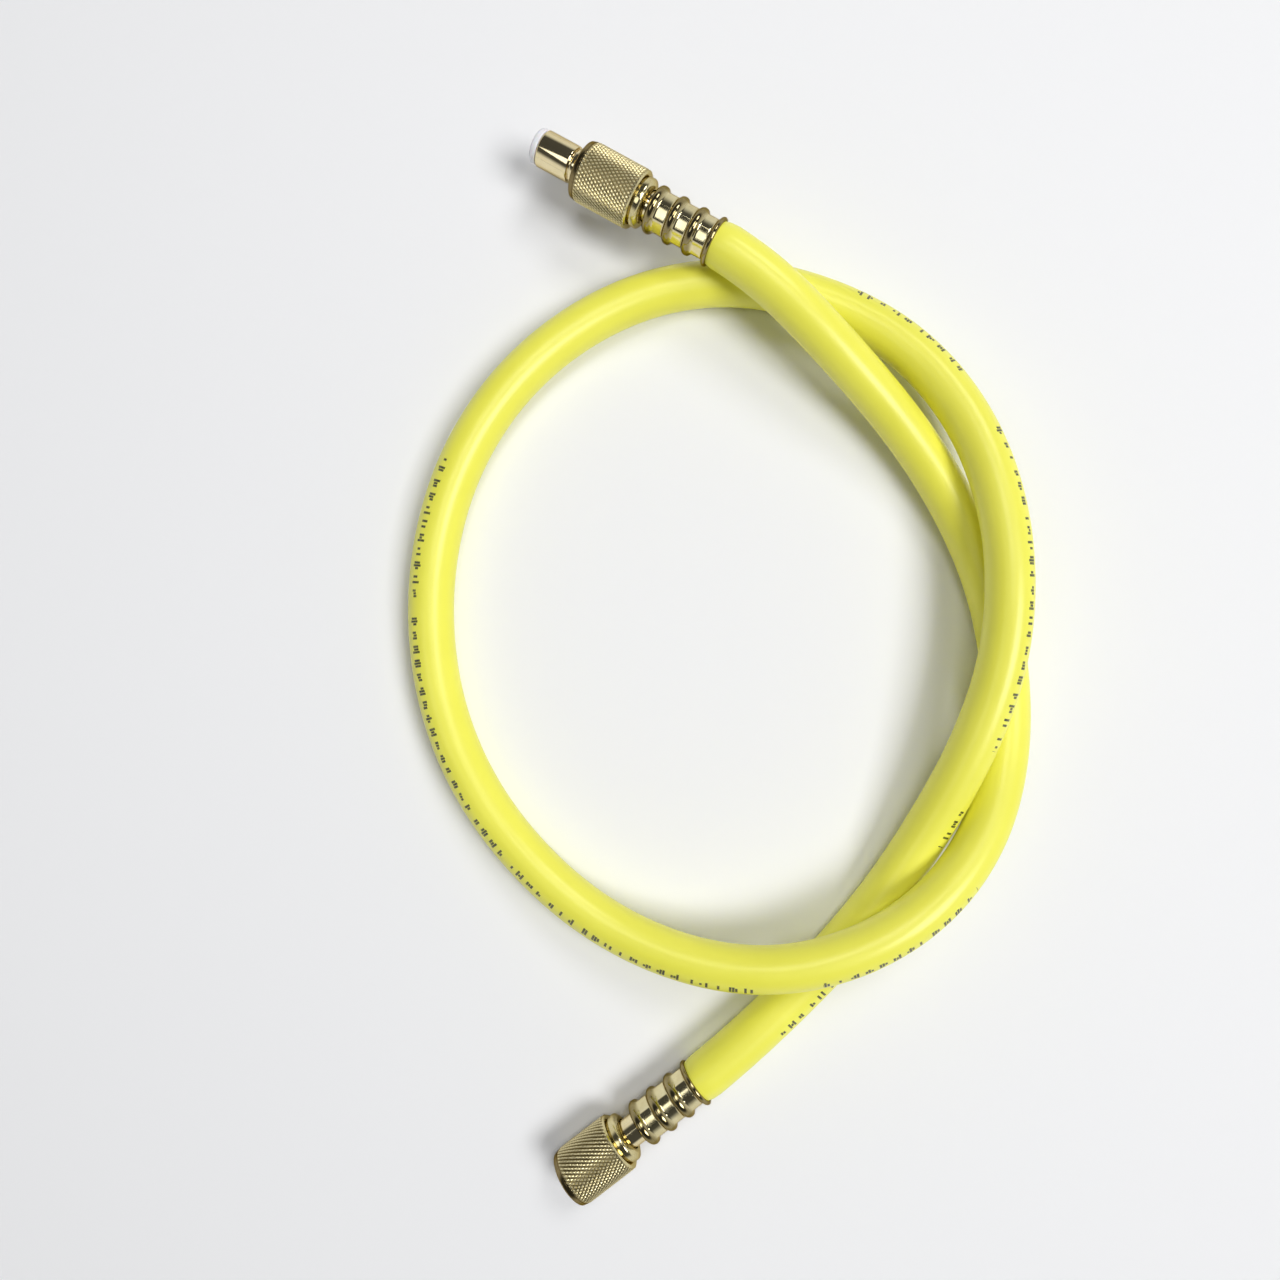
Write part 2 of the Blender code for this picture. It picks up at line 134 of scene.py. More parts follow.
FERRULE_LENGTH = 0.0195
FERRULE_WALL = 0.0009
FERRULE_RING_OD = 0.0128
FERRULE_BAND_FLATS = 0.0108
FERRULE_LIP_OD = 0.0133
FERRULE_LIP_WIDTH = 0.0012
FERRULE_RING_WIDTH = 0.0019
FERRULE_RING_PITCH = 0.006
FERRULE_RAMP = 0.0005
FERRULE_FILLET = 0.0009     # from a ring's side out to the flats
FERRULE_PILLOW = 0.50       # how much of a flat's hollow between its corners is filled
FERRULE_FRONT_WALL = 0.0012
FERRULE_FRONT_ROUND = 0.0007
FERRULE_FRONT_BREAK = 0.00012
FERRULE_LIP_BREAK = 0.00008
FERRULE_CROWN = 0.00030     # how far a ring's sides lie below its crown
FERRULE_RINGS = 3
FERRULE_FLATS = 8
FERRULE_SHOULDER = 0.3      # share of a ring's half width that its rounded shoulder takes
FERRULE_MOUTH_TAPER = 0.0006
FERRULE_STEP = 0.0001
FERRULE_SIDES = 128
FERRULE_SHARP = math.radians(40.0)

STEM_BORE = 0.0034
STEM_BARB_OD = 0.0056
STEM_ROOT_OD = 0.0047
STEM_BARBS = 3
STEM_BARB_PITCH = 0.0048
STEM_BARB_FIRST = 0.0006    # from the tail's end to the first barb
STEM_BARB_SHAPE = (0.72, 0.78)      # where in its pitch a barb is highest, and back at the root
STEM_TAIL = 0.0178
STEM_GROOVE_OD = 0.0064
STEM_LOCK_OD = 0.0078
STEM_LOCK_WIDTH = 0.0008
STEM_NECK_OD = 0.0080
STEM_COLLAR_OD = 0.0089
STEM_COLLAR_WIDTH = 0.0026
STEM_HEAD_OD = 0.0096
STEM_FILLET = 0.0002
STEM_COLLAR_ROUND = 0.0007
STEM_HEAD_ROUND = 0.00035
STEM_UNDERCUT = 0.00045     # the width of the groove between collar and head
SERVICE_COLLAR = 0.0216
SERVICE_HEAD_LENGTH = 0.0094
MANIFOLD_HEAD_LENGTH = 0.0068
TURNED_SIDES = 96

SEAL_OD = 0.0093
SEAL_PROUD = 0.0022
SEAL_HOLE = 0.0046
SEAL_SPIGOT_OD = 0.0064
SEAL_SPIGOT_LENGTH = 0.0030
SEAL_FACE_ROUND = 0.0011
SEAL_EDGE_ROUND = 0.0004
SEAL_SPIGOT_ROUND = 0.0003
SEAL_ROUND_STEPS = 7

DEPRESSOR_THICK = 0.0010

NUT_LENGTH = 0.0208
NUT_OD = 0.0158
NUT_BORE = 0.0100
NUT_MOUTH_OD = 0.0132
NUT_MOUTH_BORE = 0.0109
NUT_RIM = 0.0017            # the smooth rim in front of the knurl
NUT_RIM_OD = 0.0150
NUT_HUB_OD = 0.0133
NUT_HUB_LENGTH = 0.0025
NUT_HUB_CONE = (0.32, 0.0014)       # the share of the hub that tapers, and by how much
NUT_HUB_ROUND = (0.0005, 0.0003)    # at the cone's foot, and at the hub's other corners
NUT_SHOULDER = (0.0004, 0.0005)     # the length and depth of the chamfer in front of the groove
NUT_RIM_SETBACK = 0.00015   # how far the rim's rear edge lies below the knurl's tops
NUT_RIM_TAPER_END = 0.0005  # how far behind the mouth the rim has tapered to its diameter
NUT_RIM_ROUND = 0.00025
NUT_FACE_ROUND = 0.00015
NUT_GROOVE_OD = 0.0122
NUT_GROOVE_WIDTH = 0.0004
NUT_REAR_WALL = 0.0022
NUT_CLEARANCE = 0.0002
SERVICE_NUT_REAR = 0.0012
MANIFOLD_NUT_REAR = 0.0043
KNURL_COUNT = 46            # grooves each way round the barrel
KNURL_DEPTH = 0.00030
KNURL_ANGLE = math.radians(33.0)
KNURL_SAMPLES = 8           # points from one groove to the next
KNURL_TOPS = 1.4            # above 1 where wear has left the diamonds with flat tops
KNURL_UNEVEN = 0.5          # how far the two sets of grooves differ from their mean depth
KNURL_START = 0.0005        # from the barrel's rear edge to the knurl
KNURL_STOP = 0.0003         # from the knurl to the rim
KNURL_FADE = 3.0            # rows over which the grooves start and end
KNURL_END_DEPTH = 0.4       # share of the grooves' depth that is turned off all round there
KNURL_SHARP = math.radians(28.0)
THREAD_PITCH = 0.00127
THREAD_DEPTH = 0.00055
THREAD_LENGTH = 0.0080
THREAD_SAMPLES = 8          # rows to one turn of the thread
THREAD_FLANK = (2.6, -0.3)  # the flanks' slope, and what cuts the crests flat
THREAD_FADE = 5.0           # rows over which the thread starts and ends

# The floor, and where it starts and ends its fade into the wall
FLOOR_HALF = 4.0
FLOOR_FADE = (0.35, 1.10)

# Colours: the dark and the light of each, which their noise mixes
RUBBER_YELLOW = ((0.84, 0.815, 0.08), (0.89, 0.865, 0.10))
PRINT_INK = (0.025, 0.03, 0.008)
FERRULE_BRASS = ((0.56, 0.46, 0.22), (0.90, 0.84, 0.55))
# painted shade on the ferrule's raised rings, standing for the dark room they reflect
FERRULE_RING_PAINTED_SHADE = (0.25, 0.20, 0.09)
STEM_BRASS = ((0.76, 0.64, 0.36), (0.90, 0.80, 0.52))
KNURL_BRASS = ((0.78, 0.68, 0.38), (0.93, 0.85, 0.54))
# painted shade: the colour laid in the knurl's grooves
KNURL_GROOVE_SHADE = (0.20, 0.15, 0.05)
NUT_BRASS = ((0.52, 0.44, 0.21), (0.80, 0.72, 0.42))
# painted shade: the nut's front rim made dark, standing for the dark room it reflects
NUT_RIM_PAINTED_SHADE = ((0.15, 0.11, 0.05), (0.34, 0.27, 0.13))
BRASS_EDGE = (0.50, 0.42, 0.28, 1.0)        # the tint of what brass reflects at a low angle
DEPRESSOR_METAL = ((0.46, 0.42, 0.36), (0.62, 0.58, 0.50))
SEAL_WHITE = ((0.80, 0.79, 0.83), (0.86, 0.85, 0.88))
FLOOR_WHITE = ((0.872, 0.876, 0.890), (0.882, 0.886, 0.899))
NOISE_BAND = (0.3, 0.7)     # where in its noise a colour is all dark and all light

# Lamps: name, azimuth and elevation in degrees, distance, size, and share of the light on the floor
LAMPS = (
    ("key_softbox", 340.0, 58.0, 2.20, 0.95, 0.55),
    ("upper_softbox", 88.0, 76.0, 0.75, 0.26, 0.18),
    ("side_softbox", 60.0, 50.0, 2.00, 0.60, 0.17),
    ("left_window", 192.0, 60.0, 1.50, 0.52, 0.06),
)

# The room's walls as they are seen, by height from the horizon (0) to straight up (1), and how
# much of that lights the object
SKY = ((0.0, 0.86), (0.30, 0.78), (0.54, 0.07), (1.0, 0.06))
SKY_LIGHT = 0.40


# Mesh making

def mesh_object(name, verts, faces, sharp=SHARP):
    data = bpy.data.meshes.new(name)
    data.from_pydata(verts, [], faces)
    data.validate()
    data.shade_smooth()
    data.set_sharp_from_angle(angle=sharp)
    piece = bpy.data.objects.new(name, data)
    bpy.context.scene.collection.objects.link(piece)
    return piece


def store(piece, name, values):
    """Keeps a number for each vertex under this name, for the piece's material."""
    layer = piece.data.attributes.new(name, "FLOAT", "POINT")
    layer.data.foreach_set("value", np.asarray(values, np.float32).reshape(-1))


def grid_faces(rows, sides, closed):
    """Faces between neighbouring hoops of vertices, and from the last hoop to the first if closed."""
    row = np.arange(rows if closed else rows - 1)[:, None] * sides
    following = ((row // sides + 1) % rows) * sides
    column = np.arange(sides)[None, :]
    beside = (column + 1) % sides
    corners = [row + column, row + beside, following + beside, following + column]
    return np.stack(corners, -1).reshape(-1, 4)


def lathe(name, section, sides, form=None, sharp=SHARP):
    """A closed ring turned about +Z from (along, radius) rows; form may change the radius anywhere."""
    rows = np.array(section, float)
    angle = np.arange(sides) * math.tau / sides
    along = np.repeat(rows[:, :1], sides, axis=1)
    radius = np.repeat(rows[:, 1:2], sides, axis=1)
    if form:
        radius = form(along, angle[None, :], radius)
    verts = np.stack([radius * np.cos(angle), radius * np.sin(angle), along], -1).reshape(-1, 3)
    outward = np.sum(np.abs(rows[:, 1]) * (np.roll(rows[:, 0], -1) - np.roll(rows[:, 0], 1))) > 0
    faces = grid_faces(len(rows), sides, True)
    return mesh_object(name, verts.tolist(), (faces if outward else faces[:, ::-1]).tolist(), sharp)


def rounded(corners, steps=5):
    """The section through these (along, radius, rounding) corners, each rounded by a short curve."""
    section = []
    count = len(corners)
    for k, (along, radius, rounding) in enumerate(corners):
        corner = Vector((along, radius))
        if not rounding:
            section.append((along, radius))
            continue
        before = Vector(corners[k - 1][:2]) - corner
        after = Vector(corners[(k + 1) % count][:2]) - corner
        start = corner + before.normalized() * min(rounding, before.length / 2)
        end = corner + after.normalized() * min(rounding, after.length / 2)
        for step in range(steps + 1):
            t = step / steps
            point = start * (1 - t) ** 2 + corner * 2 * t * (1 - t) + end * t * t
            section.append((point.x, point.y))
    return section


def even_rows(start, end, step):
    count = max(2, round(abs(end - start) / step) + 1)
    return np.linspace(start, end, count)


# Places

def direction(heading, dip):
    return Vector((math.cos(heading) * math.cos(dip), math.sin(heading) * math.cos(dip), -math.sin(dip)))


def fitting_place(lip, heading, dip):
    """Where the ferrule's front edge lies, with +Z out of the fitting's open end."""
    out = direction(heading, dip)
    turn = out.to_track_quat("Z", "Y").to_matrix().to_4x4()
    return Matrix.Translation(Vector(lip) + out * FERRULE_LENGTH) @ turn


PLACES = {
    "service": fitting_place(SERVICE_LIP, SERVICE_HEADING, SERVICE_DIP),
    "manifold": fitting_place(MANIFOLD_LIP, MANIFOLD_HEADING, MANIFOLD_DIP),
}


def stand_for(piece, end, node, body, along=0.0):
    """Puts a piece on its fitting, to ride on a body and to stand for a node of the frame."""
    piece.matrix_world = PLACES[end] @ Matrix.Translation((0.0, 0.0, along))
    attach(piece, body)
    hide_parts(node)
    return piece


# Materials

class Nodes:
    """Short names for the nodes of one material."""

    def __init__(self, name):
        self.material = bpy.data.materials.new(name)
        self.material.use_nodes = True
        self.tree = self.material.node_tree
        self.shader = self.tree.nodes["Principled BSDF"]

    def set(self, **sockets):
        for name, value in sockets.items():
            self.shader.inputs[name.replace("_", " ")].default_value = value

    def node(self, kind, inputs=(), **settings):
        made = self.tree.nodes.new(kind)
        for name, value in settings.items():
            setattr(made, name, value)
        for name, value in dict(inputs).items():
            if hasattr(value, "is_output"):
                self.tree.links.new(value, made.inputs[name])
            else:
                made.inputs[name].default_value = value
        return made

    def math(self, operation, first, second=0.0, third=0.0):
        return self.node("ShaderNodeMath", {0: first, 1: second, 2: third}, operation=operation).outputs[0]

    def attribute(self, name):
        return self.node("ShaderNodeAttribute", attribute_name=name).outputs["Fac"]

    def place(self, stretch=(1.0, 1.0, 1.0)):
        where = self.node("ShaderNodeTexCoord").outputs["Object"]
        return self.node("ShaderNodeMapping", {"Vector": where, "Scale": stretch}).outputs[0]

    def noise(self, scale, detail=3.0, roughness=0.5, stretch=(1.0, 1.0, 1.0)):
        made = self.node("ShaderNodeTexNoise", {"Vector": self.place(stretch), "Scale": scale,
                                                "Detail": detail, "Roughness": roughness})
        return made.outputs["Fac"]

    def chance(self, number):
        return self.node("ShaderNodeTexWhiteNoise", {"W": number}, noise_dimensions="1D").outputs

    def ramp(self, factor, stops):
        stops = list(stops)
        made = self.node("ShaderNodeValToRGB", {"Fac": factor})
        band = made.color_ramp
        while len(band.elements) < len(stops):
            band.elements.new(0.5)
        for element, (position, colour) in zip(band.elements, stops):
            element.position = position
            element.color = (*colour, 1.0)
        return made.outputs["Color"]

    def mix(self, factor, first, second):
        made = self.node("ShaderNodeMix", data_type="RGBA")
        for name, value in (("Factor_Float", factor), ("A_Color", first), ("B_Color", second)):
            socket = next(s for s in made.inputs if s.identifier == name)
            if hasattr(value, "is_output"):
                self.tree.links.new(value, socket)
            else:
                socket.default_value = value if isinstance(value, float) else (*value, 1.0)
        return next(s for s in made.outputs if s.identifier == "Result_Color")

    def between(self, factor, low, high):
        return self.node("ShaderNodeMapRange", {"Value": factor, "To Min": low, "To Max": high}).outputs[0]

    def bump(self, height, strength, distance):
        made = self.node("ShaderNodeBump", {"Height": height, "Strength": strength, "Distance": distance})
        self.tree.links.new(made.outputs["Normal"], self.shader.inputs["Normal"])

    def feed(self, name, value):
        self.tree.links.new(value, self.shader.inputs[name])


def hose_material():
    """Semi-gloss yellow rubber with a faint mould texture, and a worn line of small dark ticks."""
    n = Nodes("hose_rubber")
    yellow = n.ramp(n.noise(38.0, 4.0), zip(NOISE_BAND, RUBBER_YELLOW))
    along, around = n.attribute("along"), n.attribute("around")
    cell = n.math("DIVIDE", along, PRINT_PITCH)
    index, inside = n.math("FLOOR", cell), n.math("FRACT", cell)
    band, middle = None, None
    for start, end, first_angle, last_angle in PRINT_RUNS:
        run = n.math("MULTIPLY", n.math("GREATER_THAN", along, start), n.math("LESS_THAN", along, end))
        twist = (last_angle - first_angle) / (end - start)
        turned = n.math("MULTIPLY", run, n.math("MULTIPLY_ADD", along, twist, first_angle - twist * start))
        band = run if band is None else n.math("MAXIMUM", band, run)
        middle = turned if middle is None else n.math("MAXIMUM", middle, turned)
    beside = n.math("MULTIPLY", n.math("SUBTRACT", around, middle), HOSE_OD / 2 / PRINT_HEIGHT)
    marks = None
    for place, seed in PRINT_TICKS:
        chance = n.chance(n.math("ADD", index, seed))["Color"]
        parts = n.node("ShaderNodeSeparateColor", {0: chance})
        tall = n.between(parts.outputs[0], *PRINT_TICK_HALF)
        shift = n.between(parts.outputs[1], -PRINT_TICK_SHIFT, PRINT_TICK_SHIFT)
        drop = n.math("MULTIPLY", shift, n.math("SUBTRACT", 0.5, tall))
        near = n.math("LESS_THAN", n.math("ABSOLUTE", n.math("SUBTRACT", inside, place)),
                      PRINT_TICK_WIDTH / PRINT_PITCH / 2)
        within = n.math("LESS_THAN", n.math("ABSOLUTE", n.math("SUBTRACT", beside, drop)), tall)
        kept = n.math("LESS_THAN", parts.outputs[2], PRINT_TICKS_KEPT)
        tick = n.math("MULTIPLY", n.math("MULTIPLY", near, within), kept)
        marks = tick if marks is None else n.math("MAXIMUM", marks, tick)
    number = n.math("FLOOR", n.math("DIVIDE", along, PRINT_PITCH * PRINT_WORD))
    kept = n.math("LESS_THAN", n.chance(number)["Value"], PRINT_WORDS_KEPT)
    marks = n.math("MULTIPLY", marks, kept)
    worn = n.between(n.noise(1100.0, 2.0), 0.75, 1.15)
    ink = n.math("MINIMUM", n.math("MULTIPLY", n.math("MULTIPLY", marks, band), worn), 1.0)
    n.feed("Base Color", n.mix(ink, yellow, PRINT_INK))
    n.feed("Roughness", n.between(n.noise(60.0, 3.0), 0.42, 0.52))
    n.set(Specular_IOR_Level=0.45, Coat_Weight=0.4, Coat_Roughness=0.24)
    n.bump(n.noise(1500.0, 3.0), 0.22, 0.00004)
    return n.material


def knurl_material():
    """Brass whose grooves are darkened by painted shade, so the crests look bright."""
    n = Nodes("knurled_brass_fine")
    crest = n.attribute("crest")
    patch = n.noise(420.0, 4.0, 0.6)
    # painted shade: the deeper a place lies in a groove, the more of the dark groove colour it takes
    n.feed("Base Color", n.mix(crest, KNURL_GROOVE_SHADE, n.mix(patch, *KNURL_BRASS)))
    n.feed("Roughness", n.between(patch, 0.30, 0.42))
    n.set(Metallic=1.0, Specular_Tint=BRASS_EDGE)
    n.bump(n.noise(5200.0, 3.0), 0.25, 0.00003)
    return n.material


def polished_material(name, colours, rough_low, rough_high, painted_ring_shade=None):
    """Bright brass with faint turning lines round the axis, a little tarnish and, where a piece has
    places for it, a darker painted shade."""
    n = Nodes(name)
    brass = n.mix(n.noise(260.0, 4.0, 0.6), *colours)
    if painted_ring_shade:
        # painted shade: darker where the piece's mask is high, a little uneven by noise
        depth = n.math("MULTIPLY", n.attribute("painted_ring_shade"), n.between(n.noise(520.0, 3.0), 0.65, 1.15))
        brass = n.mix(n.math("MINIMUM", depth, 1.0), brass, painted_ring_shade)
    n.feed("Base Color", brass)
    n.feed("Roughness", n.between(n.noise(900.0, 3.0), rough_low, rough_high))
    n.set(Metallic=1.0, Specular_Tint=BRASS_EDGE)
    turning_lines = n.noise(1.0, 2.0, 0.5, (25.0, 25.0, 7000.0))
    n.bump(turning_lines, 0.12, 0.00003)
    return n.material


def seal_material():
    """White plastic with a fine grain."""
    n = Nodes("seal_white")
    n.feed("Base Color", n.ramp(n.noise(500.0, 3.0), zip(NOISE_BAND, SEAL_WHITE)))
    n.feed("Roughness", n.between(n.noise(700.0, 2.0), 0.42, 0.55))
    n.set(Subsurface_Weight=0.1, Subsurface_Scale=0.002)
    n.bump(n.noise(3000.0, 2.0), 0.2, 0.00003)
    return n.material


def seen_rays(tree):
    """1 for the rays that show the room: the camera's, and those that polished or clear things send on."""
    rays = tree.nodes.new("ShaderNodeLightPath").outputs
    seen = rays["Is Camera Ray"]
    for kind in ("Is Glossy Ray", "Is Transmission Ray"):
        either = tree.nodes.new("ShaderNodeMath")
        either.operation = "MAXIMUM"
        tree.links.new(seen, either.inputs[0])
        tree.links.new(rays[kind], either.inputs[1])
        seen = either.outputs[0]
    return seen


def floor_material():
    """A pale floor that runs into the pale wall far from the object, and is seen from above only."""
    n = Nodes("studio_floor")
    n.feed("Base Color", n.ramp(n.noise(3.0, 2.0), zip(NOISE_BAND, FLOOR_WHITE)))
    n.set(Roughness=0.9, Specular_IOR_Level=0.1)
    reach = n.node("ShaderNodeVectorMath", {0: n.place()}, operation="LENGTH").outputs["Value"]
    start, end = FLOOR_FADE
    far = n.node("ShaderNodeMapRange", {"Value": reach, "From Min": start, "From Max": end},
                 interpolation_type="SMOOTHSTEP").outputs[0]
    pale = SKY[0][1]
    glow = n.node("ShaderNodeEmission", {"Color": (pale, pale, pale, 1.0)}).outputs[0]
    share = n.math("MULTIPLY", far, seen_rays(n.tree))
    wall = n.node("ShaderNodeMixShader", {0: share, 1: n.shader.outputs[0], 2: glow})
    below = n.node("ShaderNodeNewGeometry").outputs["Backfacing"]
    clear = n.node("ShaderNodeBsdfTransparent").outputs[0]
    ground = n.node("ShaderNodeMixShader", {0: below, 1: wall.outputs[0], 2: clear})
    n.tree.links.new(ground.outputs[0], n.tree.nodes["Material Output"].inputs["Surface"])
    return n.material


# The hose

def smooth_line(points, steps=12):
    """Points along a smooth curve through the given ones."""
    points = [Vector(point) for point in points]
    slopes = []
    for k, point in enumerate(points):
        before = points[k - 1] if k else point * 2 - points[1]
        after = points[k + 1] if k + 1 < len(points) else point * 2 - points[k - 1]
        back, ahead = (point - before).length, (after - point).length
        slopes.append(((point - before) * ahead / back + (after - point) * back / ahead) / (back + ahead))
    line = []
    for k in range(len(points) - 1):
        here, there = points[k], points[k + 1]
        span = (there - here).length
        for step in range(steps):
            t = step / steps
            line.append(here * (2 * t ** 3 - 3 * t ** 2 + 1) + slopes[k] * span * (t ** 3 - 2 * t ** 2 + t)
                        + there * (3 * t ** 2 - 2 * t ** 3) + slopes[k + 1] * span * (t ** 3 - t ** 2))
    line.append(points[-1])
    return line


def hose_line():
    """Even points down the middle of the hose, from one ferrule's mouth to the other, and no lower
    than the hose can lie."""
    service = direction(SERVICE_HEADING, SERVICE_DIP)
    manifold = direction(MANIFOLD_HEADING, MANIFOLD_DIP)
    leave = HOSE_NECK + FIT
    first, last = Vector(SERVICE_LIP), Vector(MANIFOLD_LIP)
    straight = leave + ROUTE_STRAIGHT
    route = ([first + service * TUBE_IN_MOUTH, first - service * leave, first - service * straight]
             + [Vector(point) for point in ROUTE]
             + [last - manifold * straight, last - manifold * leave, last + manifold * TUBE_IN_MOUTH])
    line = np.array([tuple(point) for point in smooth_line(route)])
    marks = np.concatenate([[0.0], np.cumsum(np.linalg.norm(np.diff(line, axis=0), axis=1))])
    count = round(marks[-1] / TUBE_STEP)
    even = np.linspace(0.0, marks[-1], count + 1)
    points = np.stack([np.interp(even, marks, line[:, axis]) for axis in range(3)], -1)
    for _ in range(TUBE_SMOOTHING):
        points[3:-3] = (points[2:-4] + 2 * points[3:-3] + points[4:-2]) / 4
    points[:, 2] = np.maximum(points[:, 2], HOSE_OD / 2)
    return points


def hose():
    """A tube along the line, necked where the ferrules squeeze it, with its place along and around."""
    points = hose_line()
    steps = np.linalg.norm(np.diff(points, axis=0), axis=1)
    along = np.concatenate([[0.0], np.cumsum(steps)])
    tangent = np.gradient(points, axis=0)
    tangent /= np.linalg.norm(tangent, axis=1)[:, None]
    outward = np.cross(np.array([0.0, 0.0, 1.0]), tangent)
    outward /= np.linalg.norm(outward, axis=1)[:, None]
    top = np.cross(tangent, outward)
    from_end = np.minimum(along, along[-1] - along)
    swell = np.clip((from_end - TUBE_IN_MOUTH * 0.5) / HOSE_NECK, 0.0, 1.0)
    swell = swell * swell * (3 - 2 * swell)
    radius = (HOSE_MOUTH_OD + (HOSE_OD - HOSE_MOUTH_OD) * swell) / 2
    angle = np.arange(TUBE_SIDES) * math.tau / TUBE_SIDES
    spokes = (np.cos(angle)[None, :, None] * top[:, None, :]
              + np.sin(angle)[None, :, None] * outward[:, None, :])
    verts = points[:, None, :] + radius[:, None, None] * spokes
    rows = len(points)
    faces = grid_faces(rows, TUBE_SIDES, False).tolist()
    faces.append(list(range(TUBE_SIDES)))
    faces.append(list(range(rows * TUBE_SIDES - 1, (rows - 1) * TUBE_SIDES - 1, -1)))
    faces = [face[::-1] for face in faces]
    piece = mesh_object("charging_hose_tube", verts.reshape(-1, 3).tolist(), faces, TUBE_SHARP)
    store(piece, "along", np.repeat(along, TUBE_SIDES))
    store(piece, "around", np.tile(np.where(angle > math.pi, angle - math.tau, angle), rows))
    return piece, points


# The crimp: the ferrule, and the end of the hose in it

def crimped_inside(gap):
    """The (along, diameter) rows of the ferrule's inside, or of the hose in it with this gap between."""
    wall = 2 * (FERRULE_WALL + gap)
    rings, bands = FERRULE_RING_OD - wall, FERRULE_BAND_FLATS - wall
    half = FERRULE_RING_WIDTH / 2
    mouth = HOSE_MOUTH_OD + 2 * (FIT - gap)
    lip = -FERRULE_LENGTH + FERRULE_LIP_WIDTH
    section = [(-FERRULE_LENGTH, mouth), (lip, mouth - FERRULE_MOUTH_TAPER),
               (lip + 2 * FERRULE_RAMP, bands)]
    for centre in reversed(ring_centres()[1:]):
        section += [(centre - half - FERRULE_RAMP, bands), (centre - half, rings),
                    (centre + half, rings), (centre + half + FERRULE_RAMP, bands)]
    section.append((-FERRULE_FRONT_WALL - gap, bands))
    return section


def ring_centres():
    """Where the ferrule's raised rings lie, from its front edge back."""
    first = (FERRULE_RING_WIDTH + FERRULE_RAMP) / 2
    return [-(first + k * FERRULE_RING_PITCH) for k in range(FERRULE_RINGS)]


def crimp_form(along, angle, radius):
    """Round raised rings and a rolled lip, with bands of pillowed flats pressed between them, and how
    far up on a ring each place lies. The inside is turned, and marked by a negative radius."""
    side = math.tau / FERRULE_FLATS
    corner = angle % side - side / 2
    flat = FERRULE_BAND_FLATS / 2
    pillowed = flat + (flat / np.cos(corner) - flat) * (1 - FERRULE_PILLOW)
    shape = np.repeat(pillowed, along.shape[0], axis=0)
    on_ring = np.zeros(shape.shape)
    lip = -FERRULE_LENGTH + FERRULE_LIP_WIDTH / 2
    bumps = [(centre, FERRULE_RING_WIDTH / 2, FERRULE_RING_OD / 2) for centre in ring_centres()]
    bumps.append((lip, FERRULE_LIP_WIDTH / 2, FERRULE_LIP_OD / 2))
    for centre, half, crown in bumps:
        away = np.abs(along - centre)
        ramp = FERRULE_FILLET + half * FERRULE_SHOULDER
        rise = np.clip((half + FERRULE_FILLET - away) / ramp, 0.0, 1.0)
        rise = rise * rise * (3 - 2 * rise)
        top = crown - FERRULE_CROWN * (away / half) ** 2
        shape = shape + (top - shape) * rise
        on_ring = np.maximum(on_ring, rise)
    outer = radius > 0
    return np.where(outer, shape, -radius), on_ring


def ferrule(end):
    """A ferrule: its outer skin follows the crimp, which replaces the 1.0 in its rows."""
    hole = (STEM_GROOVE_OD + 2 * FIT) / 2
    rows = even_rows(-FERRULE_FRONT_BREAK, -FERRULE_LENGTH + FERRULE_LIP_BREAK, FERRULE_STEP)
    outer = [(along, 1.0) for along in rows]
    inner = [(along, -diameter / 2) for along, diameter in crimped_inside(0.0)]
    front = [(-FERRULE_FRONT_WALL, -hole), (-BREAK, -hole), (0.0, -hole - BREAK),
             (0.0, -FERRULE_RING_OD / 2 + FERRULE_FRONT_ROUND)]
    section = front[3:] + outer + inner + front[:3]
    painted_ring_shade = np.zeros((len(section), FERRULE_SIDES))

    def form(along, angle, radius):
        shape, painted_ring_shade[:] = crimp_form(along, angle, radius)
        return shape

    piece = lathe("crimped_ferrule_" + end, section, FERRULE_SIDES, form, FERRULE_SHARP)
    # the mask of the painted shade: how far up on a ring each place lies
    store(piece, "painted_ring_shade", painted_ring_shade)
    return stand_for(piece, end, end + "_ferrule", "hose_assembly")


def crimped_hose(end):
    """The squeezed end of the hose, hidden in the ferrule."""
    outer = [(along, diameter / 2) for along, diameter in crimped_inside(FIT)]
    stop = -FERRULE_LENGTH + TUBE_IN_MOUTH + HOSE_END_BREAK
    outer = [(stop, outer[0][1] - HOSE_END_BREAK)] + [row for row in outer if row[0] > stop]
    bore = (STEM_BARB_OD + 2 * FIT) / 2
    lock = (STEM_LOCK_OD + 2 * FIT) / 2
    lock_end = -(FERRULE_FRONT_WALL + FIT + STEM_LOCK_WIDTH + FIT)
    section = ([(stop, bore)] + outer
               + [(-FERRULE_FRONT_WALL - FIT, lock), (lock_end, lock), (lock_end, bore)])
    piece = lathe("crimped_hose_" + end, section, HOSE_END_SIDES)
    return stand_for(piece, end, end + "_hose_end", "hose_assembly")


# Stems and seals

